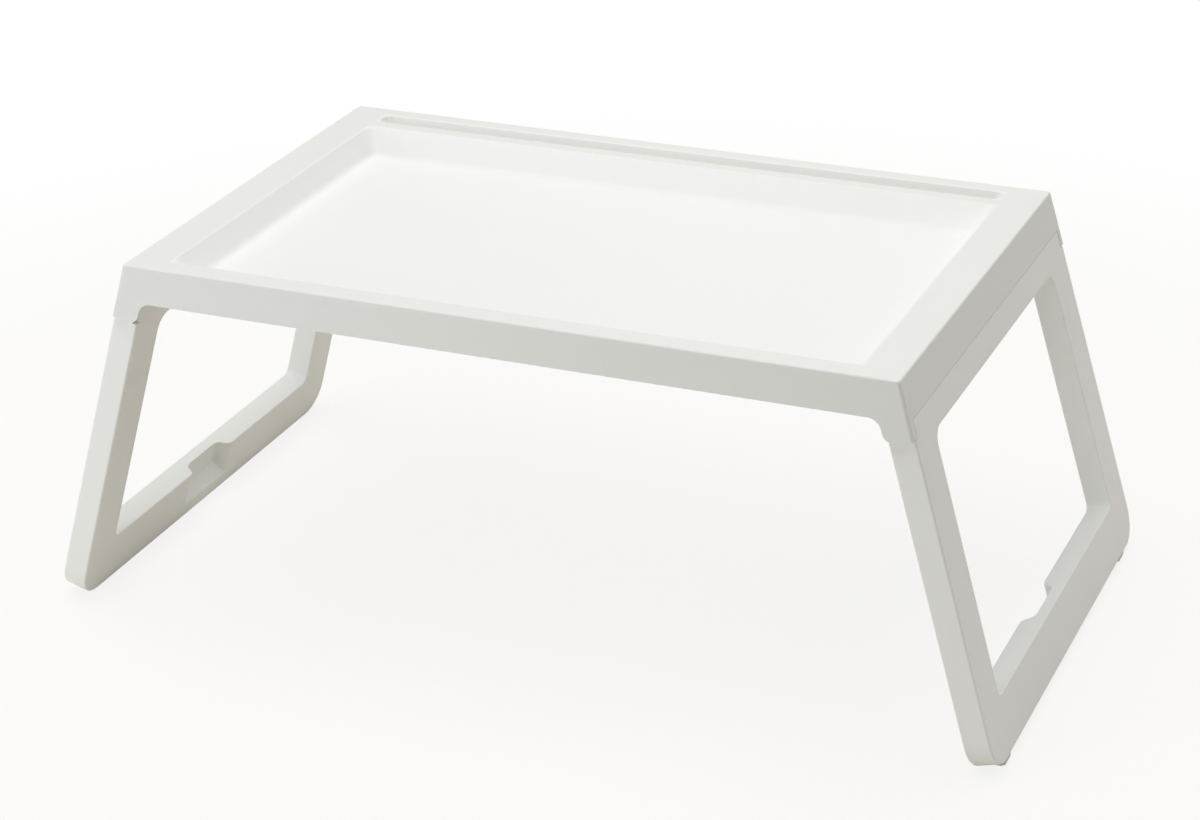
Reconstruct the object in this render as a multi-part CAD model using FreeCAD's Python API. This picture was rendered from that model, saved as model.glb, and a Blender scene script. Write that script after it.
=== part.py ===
import FreeCAD, Part
import math
import os

from FreeCAD import Base

# Folding bed tray table, moulded in white plastic.
#
# Millimetres. X runs along the length, Y to the back and Z up. The origin is on the
# floor under the middle of the table, which stands with both legs opened.

# ---- tray, seen from above -------------------------------------------------------
top_length = 560.0           # along X at the top surface
top_depth = 360.0            # along Y at the top surface
table_height = 272.5         # floor to top surface
corner_radius = 2.5          # upright corners of the skirt
top_edge_radius = 1.5        # round along the outer top edge
skirt_depth = 27.0           # top surface to the skirt's lower edge
skirt_draft = 2.9            # degrees, front and back skirts lean out going down
skirt_wall = 2.0
top_wall = 2.5

# ---- sunk floor ------------------------------------------------------------------
end_rim = 29.0               # rim width at the two ends
front_rim = 17.0
back_rim = 41.0              # carries the tablet groove
recess_depth = 18.0
end_slope = 10.0             # how far the end and front walls run in going down
back_slope = 16.0
recess_corner = 10.0         # corner radius, seen from above
floor_fillet = 7.0           # round between the walls and the floor
rim_edge_radius = 1.4

# ---- tablet groove ---------------------------------------------------------------
groove_width = 16.0
groove_depth = 10.0
groove_back_rim = 13.0       # groove to the back edge
groove_end_rim = 30.0        # groove to the end edges
groove_slope = 2.2           # how far its walls run in going down
groove_wall = 2.0
groove_chamfer = 0.6

# ---- ribs under the tray ---------------------------------------------------------
rib_wall = 1.8
cross_rib_pitch = 88.0
cross_rib_count = 6
long_rib_pitch = 88.0
long_rib_count = 3
rib_lift = 0.6               # ribs end this much above the skirt's lower edge

# ---- legs ------------------------------------------------------------------------
leg_splay = 15.8             # degrees from upright, in line with the end skirts
leg_thickness = 18.4
leg_set_in = 1.4             # the shoulder's ends, in from the tray's top edges
leg_flare = 1.9              # degrees, each upright leans out in Y going down
upright_width = 35.8
top_rail_height = 21.0       # leg top to the window, along the outer face
bottom_rail_height = 38.8    # window to the sole, along the outer face
window_top_corner = 11.0
window_low_corner = 5.5
foot_corner = 22.0
sole_lift = 1.0              # the square-cut sole's inner edge, above the floor
leg_edge_radius = 1.6        # edges round the outer face
inner_edge_chamfer = 0.8     # long edges of the inner face
window_chamfer = 0.6

# ---- hollow of the legs ----------------------------------------------------------
side_wall = 3.0
face_wall = 2.4
leg_rib_wall = 1.6
upright_rib_pitch = 47.0
rail_rib_pitch = 112.0
rail_rib_count = 3
rib_clearance = 0.3          # rib tops to the cover

# ---- cover plates ----------------------------------------------------------------
cover_thickness = 2.2
cover_rim = 2.0              # leg wall left outside the cover
cover_gap = 0.05             # round the cover's edge
peg_width = 4.0              # square pegs
peg_length = 6.0
peg_gap = 0.1                # on each side of a peg
socket_wall = 1.6

# ---- hinges ----------------------------------------------------------------------
barrel_radius = 7.0          # the leg's top rounds about the hinge line
seam_gap = 0.4               # leg to the skirt's lower edge, opened and folded
lug_radius = 8.2
lug_thickness = 7.2          # along Y
lug_fillet = 10.0            # skirt edge to lug
lug_gap = 0.8                # lug end to the leg's shoulder
lug_side_gap = 0.4
lug_rise = 6.0               # how far the thick lug runs up behind the skirt
trunnion_radius = 3.5
trunnion_length = 4.0
trunnion_chamfer = 0.6
trunnion_gap = 0.05          # radial
trunnion_end_gap = 0.3
trunnion_root = 8.0          # how far it runs into the hollow leg
trunnion_sleeve = 1.8        # wall round it there

# ---- finger recess in each bottom rail -------------------------------------------
grip_length = 52.0           # between the middles of its two curved ends
grip_centre = -6.0           # along Y
grip_depth = 9.4
grip_curve = 15.0            # length of each curved end
grip_drop = 17.0             # its straight part, below the window
grip_sole = 11.0             # its lower edge, above the sole
grip_wall = 2.0

# ---- foot pads -------------------------------------------------------------------
pad_length = 17.0            # along Y
pad_width = 14.2
pad_set_in = 32.0            # its middle, in from the leg's front or back flank
pad_sunk = 1.0               # depth of its pocket, square to the sole
pad_corner = 2.5             # chamfer of its upright corners
pad_chamfer = 0.4
pad_gap = 0.05

# ---- what follows from these -----------------------------------------------------
splay = math.radians(leg_splay)
flare = math.radians(leg_flare)
spare = 2.0                  # how far a cutter runs past a face
clear = 60.0                 # how far a trimming block runs past the part
skirt_low = table_height - skirt_depth
leg_top = skirt_low - seam_gap
hinge_inset = leg_thickness - barrel_radius
hinge_z = leg_top - barrel_radius


def on_leg(along, inset):
    """World point on the right leg, 'along' down its outer face and 'inset' into it."""
    x = top_length / 2 + along * math.sin(splay) - inset * math.cos(splay)
    z = table_height - along * math.cos(splay) - inset * math.sin(splay)
    return Base.Vector(x, 0, z)


def along_at(z, inset):
    """How far down the leg the height z is, at a depth 'inset' into it."""
    return (table_height - z - inset * math.sin(splay)) / math.cos(splay)


hinge_along = along_at(hinge_z, hinge_inset)
hinge_x = on_leg(hinge_along, hinge_inset).x
lug_end = hinge_along + lug_radius
shoulder = lug_end + lug_gap
window_top = along_at(leg_top, 0) + top_rail_height
sole_along = along_at(sole_lift, leg_thickness)
window_low = sole_along - bottom_rail_height


def half_depth(z):
    """Half the tray's outer depth at height z, front to back."""
    return top_depth / 2 + (table_height - z) * math.tan(math.radians(skirt_draft))


lug_face = half_depth(hinge_z) - lug_thickness      # inner face of each lug
neck_half = lug_face - lug_side_gap                 # leg top, between the lugs


# ==== shared shapes ===============================================================
def ring(corners, radii):
    """Closed wire through coplanar corners, each rounded by its own radius."""
    bends = []
    for i, corner in enumerate(corners):
        before = (corners[i - 1] - corner).normalize()
        after = (corners[(i + 1) % len(corners)] - corner).normalize()
        half = before.getAngle(after) / 2
        reach = radii[i] / math.tan(half)
        middle = (before + after).normalize() * (radii[i] / math.sin(half) - radii[i])
        bends.append((corner + before * reach, corner + middle, corner + after * reach))
    edges = []
    for i, (enter, middle, leave) in enumerate(bends):
        if radii[i] > 0:
            edges.append(Part.Arc(enter, middle, leave).toShape())
        onward = bends[(i + 1) % len(bends)][0]
        if leave.distanceToPoint(onward) > 1e-6:
            edges.append(Part.LineSegment(leave, onward).toShape())
    return Part.Wire(edges)


def frustum(low, high):
    """Solid with flat walls between two level rectangles, each (x0, x1, y0, y1, z)."""
    wedge = Part.makeWedge(low[0], low[4], -low[3], -high[3], high[0],
                           low[1], high[4], -low[2], -high[2], high[1])
    wedge.rotate(Base.Vector(0, 0, 0), Base.Vector(1, 0, 0), 90)
    return wedge


def rounded(shape, radius, wanted):
    """The shape with every edge rounded that the test 'wanted' picks."""
    return shape.makeFillet(radius, [edge for edge in shape.Edges if wanted(edge)])


def bevelled(shape, size, wanted):
    """The shape with a chamfer on every edge that the test 'wanted' picks."""
    return shape.makeChamfer(size, [edge for edge in shape.Edges if wanted(edge)])


def is_level(edge, z):
    """True where an edge lies level at height z."""
    box = edge.BoundBox
    return abs(box.ZMin - z) < 1e-3 and abs(box.ZMax - z) < 1e-3


def is_upright(edge):
    """True where an edge climbs from one height to another."""
    return edge.BoundBox.ZLength > 1


def mirrored(shape, normal):
    """The shape's mirror image across a plane through the origin."""
    return shape.mirror(Base.Vector(0, 0, 0), Base.Vector(*normal))


def four_corners(shape):
    """A front right shape and its mirror images at the other three corners."""
    pair = [shape, mirrored(shape, (1, 0, 0))]
    return pair + [mirrored(item, (0, 1, 0)) for item in pair]


# ==== tray ========================================================================
def envelope(low, high, wall):
    """Everything inside the tray's sloping sides between two heights, less a wall."""
    levels = []
    for z in (low, high):
        x = on_leg(along_at(z, 0), 0).x - wall / math.cos(splay)
        y = half_depth(z) - wall
        levels.append((-x, x, -y, y, z))
    radius = max(corner_radius - wall, corner_radius / 2)
    return rounded(frustum(*levels), radius, is_upright)


def recess(wall):
    """The sunk floor's space, or with a wall the outside of the tub round it."""
    x = top_length / 2 - end_rim + wall
    front = -top_depth / 2 + front_rim - wall
    back = top_depth / 2 - back_rim + wall
    low = table_height - recess_depth - wall
    floor = (-x + end_slope, x - end_slope, front + end_slope, back - back_slope, low)
    tub = frustum(floor, (-x, x, front, back, table_height))
    tub = rounded(tub, recess_corner + wall, is_upright)
    return tub if wall else rounded(tub, floor_fillet, lambda edge: is_level(edge, low))


def groove(wall):
    """The tablet groove's space, or with a wall the outside of its trough."""
    half = groove_width / 2 + wall
    narrow = half - groove_slope
    x = top_length / 2 - groove_end_rim - groove_width / 2
    y = top_depth / 2 - groove_back_rim - groove_width / 2
    low = table_height - groove_depth - wall
    straight = frustum((-x, x, y - narrow, y + narrow, low),
                       (-x, x, y - half, y + half, table_height))
    ends = [Part.makeCone(narrow, half, table_height - low, Base.Vector(side * x, y, low))
            for side in (-1, 1)]
    return straight.fuse(ends).removeSplitter()


def rib_plates():
    """Upright plates across and along the tray, from the rib line to inside the top."""
    low = skirt_low + rib_lift
    height = table_height - top_wall / 2 - low
    middle = (front_rim - back_rim) / 2
    plates = []
    for i in range(cross_rib_count):
        x = (i - (cross_rib_count - 1) / 2) * cross_rib_pitch
        start = Base.Vector(x - rib_wall / 2, -top_depth, low)
        plates.append(Part.makeBox(rib_wall, 2 * top_depth, height, start))
    for i in range(long_rib_count):
        y = middle + (i - (long_rib_count - 1) / 2) * long_rib_pitch
        start = Base.Vector(-top_length, y - rib_wall / 2, low)
        plates.append(Part.makeBox(2 * top_length, rib_wall, height, start))
    return plates


def lug_solid(outline):
    """Front right lug: an outline in the XZ plane run out past the front skirt."""
    outline.translate(Base.Vector(0, -lug_face, 0))
    return Part.Face(outline).extrude(Base.Vector(0, -clear, 0))


def lug_skin():
    """Lug as the front shows it: round end, straight inner side, fillet to the skirt."""
    inner = hinge_inset + lug_radius
    top = skirt_low + top_wall
    diagonal = lug_radius * math.sqrt(0.5)
    outer_low = on_leg(lug_end, -spare)
    foot = on_leg(lug_end, hinge_inset)
    bend = on_leg(hinge_along + diagonal, hinge_inset + diagonal)
    side = on_leg(hinge_along, inner)
    corner = on_leg(along_at(skirt_low, inner), inner)
    down = (side - corner).normalize()
    level = Base.Vector(-1, 0, 0)
    half = down.getAngle(level) / 2
    start = corner + down * (lug_fillet / math.tan(half))
    middle = corner + (down + level).normalize() * (lug_fillet / math.sin(half) - lug_fillet)
    finish = corner + level * (lug_fillet / math.tan(half))
    inner_top = Base.Vector(finish.x, 0, top)
    outer_top = Base.Vector(outer_low.x, 0, top)
    return Part.Wire([Part.LineSegment(outer_low, foot).toShape(),
                      Part.Arc(foot, bend, side).toShape(),
                      Part.LineSegment(side, start).toShape(),
                      Part.Arc(start, middle, finish).toShape(),
                      Part.LineSegment(finish, inner_top).toShape(),
                      Part.LineSegment(inner_top, outer_top).toShape(),
                      Part.LineSegment(outer_top, outer_low).toShape()])


def lug_core():
    """Thick part of the lug round the hinge line, upright on its inner side."""
    diagonal = lug_radius * math.sqrt(0.5)
    outer_low = on_leg(lug_end, -spare)
    foot = on_leg(lug_end, hinge_inset)
    bend = on_leg(hinge_along + diagonal, hinge_inset + diagonal)
    side = Base.Vector(hinge_x - lug_radius, 0, hinge_z)
    inner_top = Base.Vector(side.x, 0, skirt_low + lug_rise)
    outer_top = Base.Vector(outer_low.x, 0, skirt_low + lug_rise)
    return Part.Wire([Part.LineSegment(outer_low, foot).toShape(),
                      Part.Arc(foot, bend, side).toShape(),
                      Part.LineSegment(side, inner_top).toShape(),
                      Part.LineSegment(inner_top, outer_top).toShape(),
                      Part.LineSegment(outer_top, outer_low).toShape()])


def make_tray():
    """Rim, sunk floor, groove, skirt, ribs and hinge lugs as one moulding."""
    lowest = on_leg(lug_end, hinge_inset).z - spare
    outside = envelope(lowest, table_height, 0)
    inside = envelope(lowest, table_height - top_wall, skirt_wall)
    skins = four_corners(lug_solid(lug_skin()).common(outside))
    cores = four_corners(lug_solid(lug_core()).common(outside))
    rib_room = envelope(skirt_low, table_height, skirt_wall / 2)
    ribs = [plate.common(rib_room) for plate in rib_plates()]

    tray = envelope(skirt_low, table_height, 0).fuse(skins).cut(inside)
    tray = tray.fuse(cores + ribs + [recess(top_wall), groove(groove_wall)])
    tray = tray.cut([recess(0), groove(0)])
    depth = trunnion_length + trunnion_end_gap - lug_side_gap
    bore = Part.makeCylinder(trunnion_radius + trunnion_gap, depth + spare,
                             Base.Vector(hinge_x, spare - lug_face, hinge_z),
                             Base.Vector(0, -1, 0))
    tray = tray.cut(four_corners(bore)).removeSplitter()

    groove_front = top_depth / 2 - groove_back_rim - groove_width

    def on_outer_edge(edge):
        box = edge.BoundBox
        reach = max(abs(box.XMin), abs(box.XMax)) > top_length / 2 - spare
        deep = max(abs(box.YMin), abs(box.YMax)) > top_depth / 2 - spare
        return is_level(edge, table_height) and (reach or deep)

    def on_groove(edge):
        at_groove = edge.BoundBox.YMin > groove_front - spare
        return is_level(edge, table_height) and not on_outer_edge(edge) and at_groove

    def on_recess(edge):
        return (is_level(edge, table_height) and not on_outer_edge(edge)
                and not on_groove(edge))

    tray = rounded(tray, top_edge_radius, on_outer_edge)
    tray = rounded(tray, rim_edge_radius, on_recess)
    return bevelled(tray, groove_chamfer, on_groove)


# ==== legs ========================================================================
# A leg is drawn flat: x = 0 is its outer face with -x going into it, and z = 0 is
# level with the tray's top edge with -z going down it.
def stand_up(shape):
    """Turn and move a flat right leg shape to its place under the tray."""
    stood = shape.copy()
    stood.rotate(Base.Vector(0, 0, 0), Base.Vector(0, 1, 0), -leg_splay)
    stood.translate(Base.Vector(top_length / 2, 0, table_height))
    return stood


def lay_flat(shape):
    """The other way: from its place under the tray to the flat drawing."""
    laid = shape.copy()
    laid.translate(Base.Vector(-top_length / 2, 0, -table_height))
    laid.rotate(Base.Vector(0, 0, 0), Base.Vector(0, 1, 0), leg_splay)
    return laid


def height_of(point):
    """Height over the floor of a point of the flat drawing."""
    return table_height + point.z * math.cos(splay) + point.x * math.sin(splay)


def leg_half(along):
    """Half the leg's width along Y, at a distance down it."""
    return top_depth / 2 - leg_set_in + (along - shoulder) * math.tan(flare)


def slab(corners, radii, near, deep):
    """Flat plate through (along, y) corners, between two depths below the outer face."""
    points = [Base.Vector(-near, y, -along) for along, y in corners]
    return Part.Face(ring(points, radii)).extrude(Base.Vector(near - deep, 0, 0))


def window(inset, near, deep):
    """The leg's window, widened by 'inset' on every side."""
    top = window_top - inset
    low = window_low + inset
    top_half = leg_half(top) - upright_width + inset
    low_half = leg_half(low) - upright_width + inset
    corners = [(top, -top_half), (top, top_half), (low, low_half), (low, -low_half)]
    radii = [window_top_corner + inset] * 2 + [window_low_corner + inset] * 2
    return slab(corners, radii, near, deep)


def leg_blank(inset, near, deep):
    """The leg's frame drawn in by 'inset' all round, between two depths."""
    ends = (0, sole_along - inset)
    half = [leg_half(along) - inset for along in ends]
    corners = [(ends[0], -half[0]), (ends[0], half[0]), (ends[1], half[1]), (ends[1], -half[1])]
    radii = [0, 0, foot_corner - inset, foot_corner - inset]
    level = Part.makeBox(top_length, 2 * top_depth, table_height,
                         Base.Vector(0, -top_depth, leg_top - inset - table_height))
    blank = slab(corners, radii, near, deep).common(lay_flat(level))
    neck = neck_half - inset
    start = shoulder + inset
    notches = [slab([(-clear, side * neck), (start, side * neck),
                     (start, side * top_depth), (-clear, side * top_depth)],
                    [0] * 4, near - spare, deep + spare) for side in (-1, 1)]
    return blank.cut(notches + [window(inset, near - spare, deep + spare)])


def with_barrel(blank, inset, deep):
    """Round the leg's top edge on its inner side about the hinge line."""
    def on_barrel(edge):
        heights = [height_of(vertex.Point) for vertex in edge.Vertexes]
        inner = edge.BoundBox.XMax < 1e-3 - deep
        return inner and max(abs(z - leg_top + inset) for z in heights) < 1e-3

    return rounded(blank, barrel_radius - inset, on_barrel)


def grip(wall):
    """The finger recess, or with a wall the outside of the moulding round it."""
    radius = (grip_curve ** 2 + grip_depth ** 2) / (4 * grip_depth)
    turn = math.asin(grip_curve / 2 / radius)
    flat = (grip_length - grip_curve) / 2
    wide = (grip_length + grip_curve) / 2
    small = radius - wall
    large = radius + wall

    def curved_end(side):
        lead = [(radius - small * math.cos(a), wide - small * math.sin(a))
                for a in (0, turn / 2, turn)]
        tail = [(grip_depth - radius + large * math.cos(a), flat + large * math.sin(a))
                for a in (turn, turn / 2, 0)]
        return [Base.Vector(inset - leg_thickness, grip_centre + side * y, 0)
                for inset, y in lead + tail]

    right = curved_end(1)
    left = curved_end(-1)
    outwards = Base.Vector(-spare, 0, 0)
    edges = [Part.LineSegment(right[0] + outwards, right[0]).toShape(),
             Part.Arc(*right[:3]).toShape(),
             Part.Arc(*right[3:]).toShape(),
             Part.LineSegment(right[5], left[5]).toShape(),
             Part.Arc(*reversed(left[3:])).toShape(),
             Part.Arc(*reversed(left[:3])).toShape(),
             Part.LineSegment(left[0], left[0] + outwards).toShape(),
             Part.LineSegment(left[0] + outwards, right[0] + outwards).toShape()]
    plan = Part.Face(Part.Wire(edges))
    plan.translate(Base.Vector(0, 0, clear - window_low))
    column = plan.extrude(Base.Vector(0, 0, -2 * clear))

    # the back of the recess runs straight down, then slopes out to the inner face
    bend = window_low + grip_drop
    low = sole_along - grip_sole
    slope = (low - bend) / grip_depth
    shift = wall * math.hypot(1, slope)
    deepest = grip_depth + wall + spare
    top = window_low - clear
    side = [(-2 * spare, top), (deepest, top), (deepest, low + shift - slope * deepest),
            (-2 * spare, low + shift + slope * 2 * spare)]
    points = [Base.Vector(inset - leg_thickness, -top_depth, -along) for inset, along in side]
    ramp = Part.Face(ring(points, [0] * 4)).extrude(Base.Vector(0, 2 * top_depth, 0))
    return column.common(ramp)


def peg_places():
    """(along, y) of each cover peg: two on each upright and two on the bottom rail."""
    places = []
    rail = window_low + bottom_rail_height / 2
    for side in (-1, 1):
        for step in (1, 3):
            along = window_top + step * (window_low - window_top) / 4
            places.append((along, side * (leg_half(along) - upright_width / 2)))
        places.append((rail, side * leg_half(rail) / 2))
    return places


def post(grow, near, deep, place):
    """Square bar between two depths of the leg, wider than a peg by 'grow' all round."""
    along, y = place
    half = peg_width / 2 + grow
    corners = [(along - half, y - half), (along - half, y + half),
               (along + half, y + half), (along + half, y - half)]
    return slab(corners, [0] * 4, near, deep)


def leg_ribs():
    """Thin webs across the uprights and the rails, joined to the walls round them."""
    near = cover_thickness + rib_clearance
    deep = leg_thickness - face_wall / 2
    room = leg_blank(side_wall / 2, near, deep)
    ribs = []
    for i in range(round((window_low - window_top) / upright_rib_pitch)):
        along = window_top + (i + 1) * upright_rib_pitch
        corners = [(along, -top_depth), (along, top_depth),
                   (along + leg_rib_wall, top_depth), (along + leg_rib_wall, -top_depth)]
        ribs.append(slab(corners, [0] * 4, near, deep).common(room))
    for i in range(rail_rib_count):
        y = (i - (rail_rib_count - 1) / 2) * rail_rib_pitch
        corners = [(0, y), (0, y + leg_rib_wall),
                   (sole_along, y + leg_rib_wall), (sole_along, y)]
        ribs.append(slab(corners, [0] * 4, near, deep).common(room))
    return ribs


def trunnion(side):
    """Stub axle on one side of the leg's neck, with its sleeve inside the hollow."""
    start = Base.Vector(-hinge_inset, side * (neck_half - trunnion_root), -hinge_along)
    axis = Base.Vector(0, side, 0)
    straight = trunnion_root + trunnion_length - trunnion_chamfer
    shaft = Part.makeCylinder(trunnion_radius, straight, start, axis)
    tip = Part.makeCone(trunnion_radius, trunnion_radius - trunnion_chamfer,
                        trunnion_chamfer, start + axis * straight, axis)
    sleeve = Part.makeCylinder(trunnion_radius + trunnion_sleeve,
                               trunnion_root - side_wall / 2, start, axis)
    return shaft.fuse([tip, sleeve])


def pad_block(grow, low):
    """One foot pad's block at the right front foot, from height 'low' into the sole."""
    middle = on_leg(sole_along, leg_thickness / 2).x
    half_x = pad_width / 2 + grow
    half_y = pad_length / 2 + grow
    y = pad_set_in - leg_half(sole_along)
    start = Base.Vector(middle - half_x, y - half_y, low)
    block = Part.makeBox(2 * half_x, 2 * half_y, clear, start)
    block = bevelled(block, pad_corner + grow * (2 - math.sqrt(2)), is_upright)
    top = sole_along - pad_sunk
    reach = [(top, -top_depth), (top, top_depth),
             (top + clear, top_depth), (top + clear, -top_depth)]
    return block.common(stand_up(slab(reach, [0] * 4, -clear, 2 * clear)))


def make_pad():
    """Right front foot pad: a wedge sunk into the sole, level where it stands."""
    return bevelled(pad_block(0, 0), pad_chamfer, lambda edge: is_level(edge, 0))


def make_leg_shell():
    """Right leg's hollow moulding: inner face, walls, ribs, recess and stub axles."""
    solid = with_barrel(leg_blank(0, 0, leg_thickness), 0, leg_thickness)

    def on_face(edge, inset):
        box = edge.BoundBox
        return abs(box.XMin + inset) < 1e-3 and abs(box.XMax + inset) < 1e-3

    def in_window(edge):
        middle = edge.BoundBox.Center
        along = -middle.z
        inside = abs(middle.y) < leg_half(along) - upright_width + spare
        return window_top - spare < along < window_low + spare and inside

    def on_outline(edge, inset):
        return on_face(edge, inset) and not in_window(edge)

    def on_inner_outline(edge):
        below = -edge.BoundBox.Center.z > shoulder + spare
        return on_outline(edge, leg_thickness) and below

    def on_window(edge):
        return in_window(edge) and (on_face(edge, 0) or on_face(edge, leg_thickness))

    solid = rounded(solid, leg_edge_radius, lambda edge: on_outline(edge, 0))
    solid = bevelled(solid, inner_edge_chamfer, on_inner_outline)
    solid = bevelled(solid, window_chamfer, on_window)

    floor_depth = leg_thickness - face_wall
    hollow = with_barrel(leg_blank(side_wall, 0, floor_depth), side_wall, floor_depth)
    hollow = hollow.cut(grip(grip_wall))
    rebate = leg_blank(cover_rim, -spare, cover_thickness)
    shell = solid.cut([hollow, rebate])

    sockets = [post(peg_gap + socket_wall, cover_thickness + rib_clearance,
                    leg_thickness - face_wall / 2, place) for place in peg_places()]
    shell = shell.fuse(leg_ribs() + sockets + [trunnion(-1), trunnion(1)])
    holes = [post(peg_gap, 0, cover_thickness + peg_length + rib_clearance, place)
             for place in peg_places()]
    shell = stand_up(shell.cut(holes + [grip(0)]))
    pocket = pad_block(pad_gap, -spare)
    return shell.cut([pocket, mirrored(pocket, (0, 1, 0))]).removeSplitter()


def make_leg_cover():
    """Right leg's outer cover, flush in its rebate, with pegs on its inner side."""
    plate = leg_blank(cover_rim + cover_gap, 0, cover_thickness)
    pegs = [post(0, cover_thickness / 2, cover_thickness + peg_length, place)
            for place in peg_places()]
    return stand_up(plate.fuse(pegs)).removeSplitter()


# ==== the whole table =============================================================
def main():
    """Build every piece and write it under its node's name."""
    os.makedirs("parts", exist_ok=True)
    shell = make_leg_shell()
    cover = make_leg_cover()
    pad = make_pad()
    pieces = {"tray": make_tray(), "right_leg_shell": shell, "right_leg_cover": cover,
              "right_front_foot_pad": pad,
              "right_rear_foot_pad": mirrored(pad, (0, 1, 0))}
    for name in [name for name in pieces if name.startswith("right")]:
        pieces[name.replace("right", "left", 1)] = mirrored(pieces[name], (1, 0, 0))
    for name, piece in pieces.items():
        box = piece.BoundBox
        print(f"{name}: {len(piece.Solids)} solid, volume {piece.Volume / 1000:.1f} cm3, "
              f"X {box.XMin:.1f} {box.XMax:.1f}, Z {box.ZMin:.1f} {box.ZMax:.1f}")
        piece.exportStep(f"parts/{name}.step")


main()
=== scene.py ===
import logging
import math
from dataclasses import dataclass
from enum import Enum
from typing import Any, Optional

import bpy
from mathutils import Euler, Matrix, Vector

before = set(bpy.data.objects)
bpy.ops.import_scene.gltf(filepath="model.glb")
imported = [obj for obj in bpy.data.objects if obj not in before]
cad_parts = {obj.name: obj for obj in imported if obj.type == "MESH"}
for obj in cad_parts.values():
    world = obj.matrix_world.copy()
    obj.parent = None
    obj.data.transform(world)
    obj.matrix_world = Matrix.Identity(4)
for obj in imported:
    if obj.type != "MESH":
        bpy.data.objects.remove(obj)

log = logging.getLogger("bed_tray_table")
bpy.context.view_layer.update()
MM = 0.001

# sockets of a colour Mix node, which the three data types share by name
MIX_A, MIX_B, MIX_RESULT = 6, 7, 2


# ---- small helpers -----------------------------------------------------------------
def linear(hex_colour: str) -> tuple[float, float, float, float]:
    """Turn an sRGB hex colour to the linear values that shaders take.

    Args:
        hex_colour: Six hex digits after a hash sign.

    Returns:
        Linear red, green and blue, with an alpha of one.
    """
    channels = [int(hex_colour[i:i + 2], 16) / 255 for i in (1, 3, 5)]
    turned = [c / 12.92 if c <= 0.04045 else ((c + 0.055) / 1.055) ** 2.4 for c in channels]
    return (turned[0], turned[1], turned[2], 1.0)


def add_node(tree: bpy.types.NodeTree, kind: str, settings: Optional[dict[str, Any]] = None,
             links: Optional[dict[Any, bpy.types.NodeSocket]] = None) -> bpy.types.Node:
    """Add a shader node with its settings and the links into it.

    Args:
        tree: Node tree that takes the node.
        kind: Blender's name for the node type.
        settings: Node properties by name, and socket values by "in:" and the socket's name.
        links: Output sockets by the name or number of the input that each feeds.

    Returns:
        The new node.
    """
    node = tree.nodes.new(kind)
    for key, value in (settings or {}).items():
        if key.startswith("in:"):
            node.inputs[key[3:]].default_value = value
        else:
            setattr(node, key, value)
    for socket, source in (links or {}).items():
        tree.links.new(source, node.inputs[socket])
    return node


def new_material(name: str) -> tuple[bpy.types.Material, bpy.types.NodeTree]:
    """Make an empty node material.

    Args:
        name: The material's name.

    Returns:
        The material and its cleared node tree.
    """
    material = bpy.data.materials.new(name)
    material.use_nodes = True
    material.node_tree.nodes.clear()
    return material, material.node_tree


def dress(node_name: str, material: bpy.types.Material) -> None:
    """Give a carried-over node its finish in every slot.

    Args:
        node_name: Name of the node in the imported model.
        material: Finish to show.
    """
    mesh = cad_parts[node_name].data
    if not mesh.materials:
        mesh.materials.append(material)
    for i in range(len(mesh.materials)):
        mesh.materials[i] = material


# ---- finishes ----------------------------------------------------------------------
@dataclass(frozen=True)
class PaintedLightZone:
    """Part of a moulding, in or outside an upright column, painted lighter as painted light or
    darker as painted shade.
    """

    centre_mm: tuple[float, float]
    half_mm: tuple[float, float]
    inside: bool
    colour: str
    blend_mm: float = 1.5

    def mix_over(self, tree: bpy.types.NodeTree, place: bpy.types.NodeSocket,
                 under: bpy.types.NodeSocket) -> bpy.types.NodeSocket:
        """Mix the zone's painted light or painted shade colour over another, softly at the
        column's edge.

        Args:
            tree: Node tree that takes the nodes.
            place: Object coordinates.
            under: Colour that shows elsewhere.

        Returns:
            The mixed colour's socket.
        """
        offset = add_node(tree, "ShaderNodeVectorMath", {"operation": "SUBTRACT"}, {0: place})
        offset.inputs[1].default_value = [c * MM for c in self.centre_mm] + [0.0]
        apart = add_node(tree, "ShaderNodeVectorMath", {"operation": "ABSOLUTE"},
                         {0: offset.outputs["Vector"]})
        beyond = add_node(tree, "ShaderNodeVectorMath", {"operation": "SUBTRACT"},
                          {0: apart.outputs["Vector"]})
        beyond.inputs[1].default_value = [h * MM for h in self.half_mm] + [0.0]
        axes = add_node(tree, "ShaderNodeSeparateXYZ", None, {0: beyond.outputs["Vector"]})
        outside = add_node(tree, "ShaderNodeMath", {"operation": "MAXIMUM"},
                           {0: axes.outputs["X"], 1: axes.outputs["Y"]})
        share = add_node(tree, "ShaderNodeMapRange",
                         {"in:From Min": -self.blend_mm * MM, "in:From Max": 0.0,
                          "in:To Min": float(self.inside), "in:To Max": float(not self.inside)},
                         {"Value": outside.outputs[0]})
        mix = add_node(tree, "ShaderNodeMix", {"data_type": "RGBA"},
                       {0: share.outputs[0], MIX_A: under})
        mix.inputs[MIX_B].default_value = linear(self.colour)
        return mix.outputs[MIX_RESULT]


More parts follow.
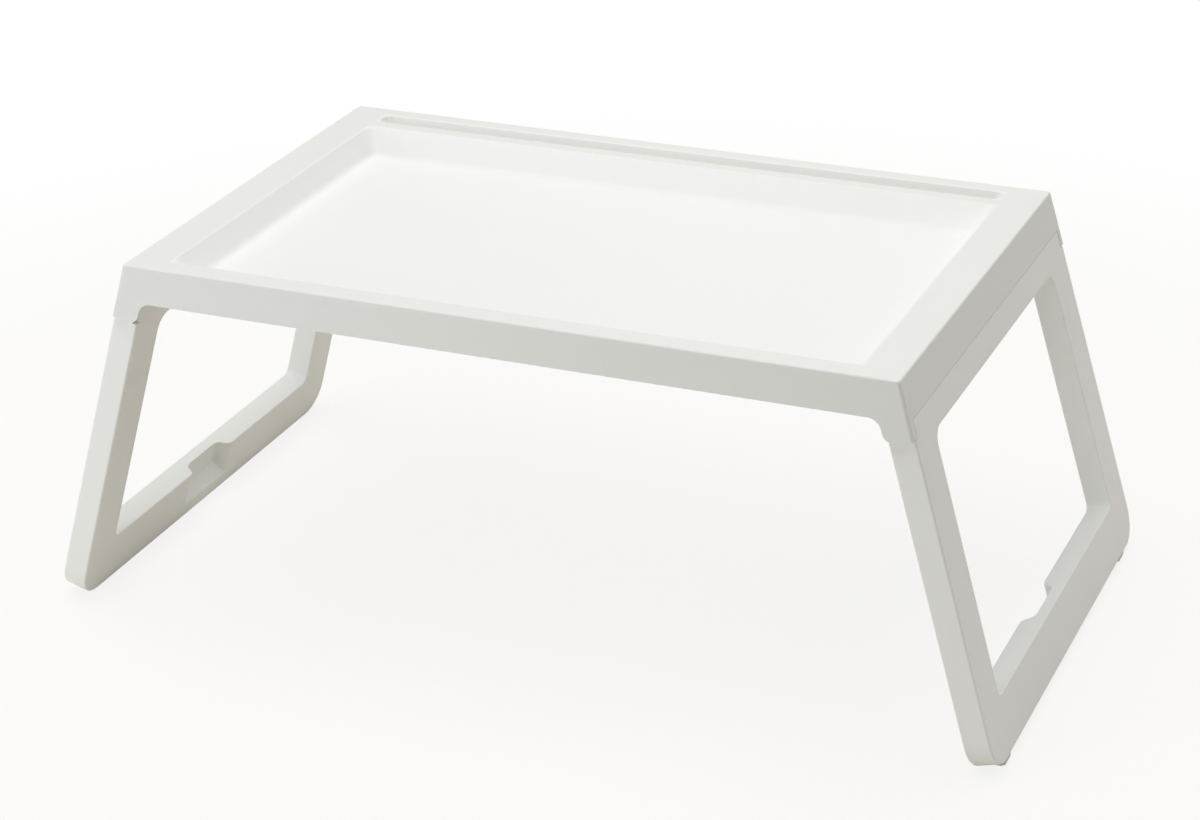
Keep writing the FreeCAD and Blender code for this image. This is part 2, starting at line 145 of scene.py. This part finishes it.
@dataclass(frozen=True)
class SatinPolypropylene:
    """White polypropylene, injection moulded in a finely spark-eroded tool."""

    name: str
    colour: str
    cloud_colour: str
    roughness: float
    cloud_mm: float = 85.0
    sheen_swing: float = 0.03
    grain_mm: float = 1.1
    grain_height_mm: float = 0.012
    grain_strength: float = 0.35
    painted_light_zones: tuple[PaintedLightZone, ...] = ()

    def build(self) -> bpy.types.Material:
        """Make the material: soft satin, nearly even white, a grain just felt.

        Returns:
            The finished material.
        """
        material, tree = new_material(self.name)
        place = add_node(tree, "ShaderNodeTexCoord")
        # flow of the melt leaves very faint clouds, a hand's width across
        clouds = add_node(tree, "ShaderNodeTexNoise",
                          {"in:Scale": 1 / (self.cloud_mm * MM), "in:Detail": 2.0,
                           "in:Roughness": 0.4},
                          {"Vector": place.outputs["Object"]})
        tone = add_node(tree, "ShaderNodeMix",
                        {"data_type": "RGBA"}, {0: clouds.outputs["Fac"]})
        tone.inputs[MIX_A].default_value = linear(self.colour)
        tone.inputs[MIX_B].default_value = linear(self.cloud_colour)
        colour = tone.outputs[MIX_RESULT]
        # painted light and shade: each zone paints part of the moulding whiter or greyer
        for zone in self.painted_light_zones:
            colour = zone.mix_over(tree, place.outputs["Object"], colour)
        sheen = add_node(tree, "ShaderNodeMapRange",
                         {"in:To Min": self.roughness - self.sheen_swing,
                          "in:To Max": self.roughness + self.sheen_swing},
                         {"Value": clouds.outputs["Fac"]})
        # the tool's real grain is near 0.1 mm, drawn ten times as coarse so that it shows
        grain = add_node(tree, "ShaderNodeTexNoise",
                         {"in:Scale": 1 / (self.grain_mm * MM), "in:Detail": 3.0,
                          "in:Roughness": 0.55},
                         {"Vector": place.outputs["Object"]})
        bump = add_node(tree, "ShaderNodeBump",
                        {"in:Strength": self.grain_strength,
                         "in:Distance": self.grain_height_mm * MM},
                        {"Height": grain.outputs["Fac"]})
        shader = add_node(tree, "ShaderNodeBsdfPrincipled",
                          {"in:IOR": 1.49, "in:Specular IOR Level": 0.42},
                          {"Base Color": colour, "Roughness": sheen.outputs[0],
                           "Normal": bump.outputs["Normal"]})
        add_node(tree, "ShaderNodeOutputMaterial", None, {"Surface": shader.outputs["BSDF"]})
        return material


@dataclass(frozen=True)
class MouldedRubber:
    """Thermoplastic rubber of the foot pads, moulded, pale grey and dull."""

    name: str
    colour: str
    worn_colour: str
    roughness: float = 0.72
    speck_mm: float = 0.8
    tooth_height_mm: float = 0.03
    tooth_strength: float = 0.5

    def build(self) -> bpy.types.Material:
        """Make the material: no shine, a fine tooth and slightly uneven tone.

        Returns:
            The finished material.
        """
        material, tree = new_material(self.name)
        place = add_node(tree, "ShaderNodeTexCoord")
        specks = add_node(tree, "ShaderNodeTexNoise",
                          {"in:Scale": 1 / (self.speck_mm * MM), "in:Detail": 4.0},
                          {"Vector": place.outputs["Object"]})
        tone = add_node(tree, "ShaderNodeMix",
                        {"data_type": "RGBA"}, {0: specks.outputs["Fac"]})
        tone.inputs[MIX_A].default_value = linear(self.colour)
        tone.inputs[MIX_B].default_value = linear(self.worn_colour)
        bump = add_node(tree, "ShaderNodeBump",
                        {"in:Strength": self.tooth_strength,
                         "in:Distance": self.tooth_height_mm * MM},
                        {"Height": specks.outputs["Fac"]})
        shader = add_node(tree, "ShaderNodeBsdfPrincipled",
                          {"in:IOR": 1.5, "in:Roughness": self.roughness},
                          {"Base Color": tone.outputs[MIX_RESULT],
                           "Normal": bump.outputs["Normal"]})
        add_node(tree, "ShaderNodeOutputMaterial", None, {"Surface": shader.outputs["BSDF"]})
        return material


# ---- the table's sub-assemblies ----------------------------------------------------
class Side(Enum):
    """Which end of the table a leg folds under."""

    LEFT = "left"
    RIGHT = "right"


@dataclass
class Tray:
    """The one-piece tray with its rim, sunk floor, groove, skirt and lugs."""

    finish: SatinPolypropylene

    def build(self) -> None:
        """Dress the tray."""
        dress("tray", self.finish.build())
        log.info("tray: moulded tray dressed in %s", self.finish.name)


@dataclass
class FoldingLeg:
    """One leg frame: its shell, the cover over its hollow side and two foot pads."""

    side: Side
    shell_finish: bpy.types.Material
    pad_finish: bpy.types.Material

    def build(self) -> None:
        """Dress the leg's four pieces."""
        name = self.side.value
        for part in ("leg_shell", "leg_cover"):
            dress(f"{name}_{part}", self.shell_finish)
        for end in ("front", "rear"):
            dress(f"{name}_{end}_foot_pad", self.pad_finish)
        log.info("%s leg: shell, cover and two pads dressed", name)


# ---- studio ------------------------------------------------------------------------
@dataclass
class SoftBox:
    """One square area lamp that looks at a point on the table."""

    name: str
    place: tuple[float, float, float]
    target: tuple[float, float, float]
    width: float
    power: float
    colour: str = "#FFFFFF"

    def build(self) -> None:
        """Make the lamp and turn it to its target."""
        lamp = bpy.data.lights.new(self.name, "AREA")
        lamp.shape = "SQUARE"
        lamp.size = self.width
        lamp.energy = self.power
        lamp.color = linear(self.colour)[:3]
        holder = bpy.data.objects.new(self.name, lamp)
        bpy.context.scene.collection.objects.link(holder)
        holder.location = self.place
        holder.visible_camera = False
        aim = Vector(self.target) - Vector(self.place)
        holder.rotation_euler = aim.to_track_quat("-Z", "Y").to_euler()
        log.info("lamp: %s", self.name)


# place and target in metres, width in metres, power in watts
SOFT_BOXES = (
    SoftBox("overhead_box", (-0.25, -0.1, 2.3), (0.0, 0.0, 0.2), 2.4, 38.6),
    SoftBox("low_left_box", (-1.1, -1.6, 0.35), (-0.3, -0.18, 0.15), 0.9, 9.9, "#F1F7FF"),
    SoftBox("left_box", (-1.9, -1.9, 0.8), (0.0, 0.0, 0.15), 1.4, 2.0),
    SoftBox("back_box", (-0.3, 2.6, 1.8), (0.0, 0.0, 0.2), 1.8, 6.7, "#FFFEF4"),
    SoftBox("back_right_box", (2.0, 1.8, 1.3), (0.0, 0.0, 0.2), 1.6, 11.3))


@dataclass
class Studio:
    """White floor, even sky, soft boxes and the camera of the photograph."""

    floor_span: float = 14.0
    floor_colour: str = "#F0EADF"
    sky_colour: str = "#FFFFFF"
    sky_strength: float = 0.27
    shadow_kept: float = 0.17
    shadow_fades: tuple[float, float] = (0.45, 1.15)
    camera_place: tuple[float, float, float] = (0.77570, -1.80333, 1.03232)
    camera_turn: tuple[float, float, float] = (65.318, 0.978, 22.8435)
    focal_px: float = 2973.5
    image_width: int = 1200
    sensor_mm: float = 36.0

    def build(self) -> None:
        """Set up everything round the table."""
        self.build_floor()
        self.build_sky()
        for box in SOFT_BOXES:
            box.build()
        self.build_camera()

    def build_floor(self) -> None:
        """Lay the floor: it shows as white, keeps the shadow and bounces warm light."""
        bpy.ops.mesh.primitive_plane_add(size=self.floor_span)
        floor = bpy.context.object
        floor.name = "studio_floor"
        material, tree = new_material("matt_white_sweep")
        diffuse = add_node(tree, "ShaderNodeBsdfDiffuse", {"in:Color": linear(self.floor_colour)})
        white = add_node(tree, "ShaderNodeEmission", {"in:Strength": 1.0})
        rays = add_node(tree, "ShaderNodeLightPath")
        # the table's shadow shows near it and fades to plain white further out on the floor
        place = add_node(tree, "ShaderNodeTexCoord")
        reach = add_node(tree, "ShaderNodeVectorMath", {"operation": "LENGTH"},
                         {0: place.outputs["Object"]})
        fade_start, fade_end = self.shadow_fades
        share = add_node(tree, "ShaderNodeMapRange",
                         {"interpolation_type": "SMOOTHSTEP",
                          "in:From Min": fade_start, "in:From Max": fade_end,
                          "in:To Min": 1 - self.shadow_kept, "in:To Max": 1.0},
                         {"Value": reach.outputs["Value"]})
        seen = add_node(tree, "ShaderNodeMath", {"operation": "MULTIPLY"},
                        {0: rays.outputs["Is Camera Ray"], 1: share.outputs[0]})
        mix = add_node(tree, "ShaderNodeMixShader", None,
                       {0: seen.outputs[0], 1: diffuse.outputs[0], 2: white.outputs[0]})
        add_node(tree, "ShaderNodeOutputMaterial", None, {"Surface": mix.outputs[0]})
        floor.data.materials.append(material)
        log.info("floor laid")

    def build_sky(self) -> None:
        """Make the sky: an even soft light that the camera sees as white."""
        world = bpy.data.worlds.new("studio_sky")
        world.use_nodes = True
        tree = world.node_tree
        tree.nodes.clear()
        light = add_node(tree, "ShaderNodeBackground",
                         {"in:Color": linear(self.sky_colour), "in:Strength": self.sky_strength})
        white = add_node(tree, "ShaderNodeBackground", {"in:Strength": 1.0})
        white.inputs["Color"].default_value = (1.0, 1.0, 1.0, 1.0)
        rays = add_node(tree, "ShaderNodeLightPath")
        mix = add_node(tree, "ShaderNodeMixShader", None,
                       {0: rays.outputs["Is Camera Ray"], 1: light.outputs[0],
                        2: white.outputs[0]})
        add_node(tree, "ShaderNodeOutputWorld", None, {"Surface": mix.outputs[0]})
        bpy.context.scene.world = world
        log.info("sky set")

    def build_camera(self) -> None:
        """Place the camera where the photograph was taken from."""
        lens = bpy.data.cameras.new("photo_camera")
        lens.sensor_fit = "HORIZONTAL"
        lens.sensor_width = self.sensor_mm
        lens.lens = self.focal_px / self.image_width * self.sensor_mm
        lens.clip_start = 0.05
        camera = bpy.data.objects.new("photo_camera", lens)
        bpy.context.scene.collection.objects.link(camera)
        camera.location = self.camera_place
        camera.rotation_euler = Euler([math.radians(a) for a in self.camera_turn], "XYZ")
        bpy.context.scene.camera = camera
        log.info("camera placed")


def main() -> None:
    """Build the table's pieces in order, then the studio."""
    logging.basicConfig(level=logging.INFO, format="%(name)s: %(message)s")
    bpy.context.scene.view_settings.view_transform = "Standard"
    # painted light and shade: the sunk floor and the groove are painted whiter than the rim as
    # painted light, and the steep skirt is painted greyer as painted shade
    tray_painted_light_zones = (PaintedLightZone((0.0, -12.0), (252.5, 152.5), True, "#F6F6F3"),
                  PaintedLightZone((0.0, 159.0), (251.5, 9.5), True, "#F6F6F3"),
                  PaintedLightZone((0.0, 0.0), (280.0, 180.0), False, "#E7E8E5"))
    tray_plastic = SatinPolypropylene("satin_moulded_polypropylene_tray", "#EFEFEC", "#ECECE8",
                                      0.44, painted_light_zones=tray_painted_light_zones)
    leg_plastic = SatinPolypropylene("satin_moulded_polypropylene_leg", "#F1F2F0", "#EEEFEC",
                                     0.46)
    rubber = MouldedRubber("moulded_thermoplastic_rubber", "#E8E8E4", "#DEDED9")
    Tray(tray_plastic).build()
    leg_finish = leg_plastic.build()
    pad_finish = rubber.build()
    for side in Side:
        FoldingLeg(side, leg_finish, pad_finish).build()
    Studio().build()


if __name__ == "__main__":
    main()
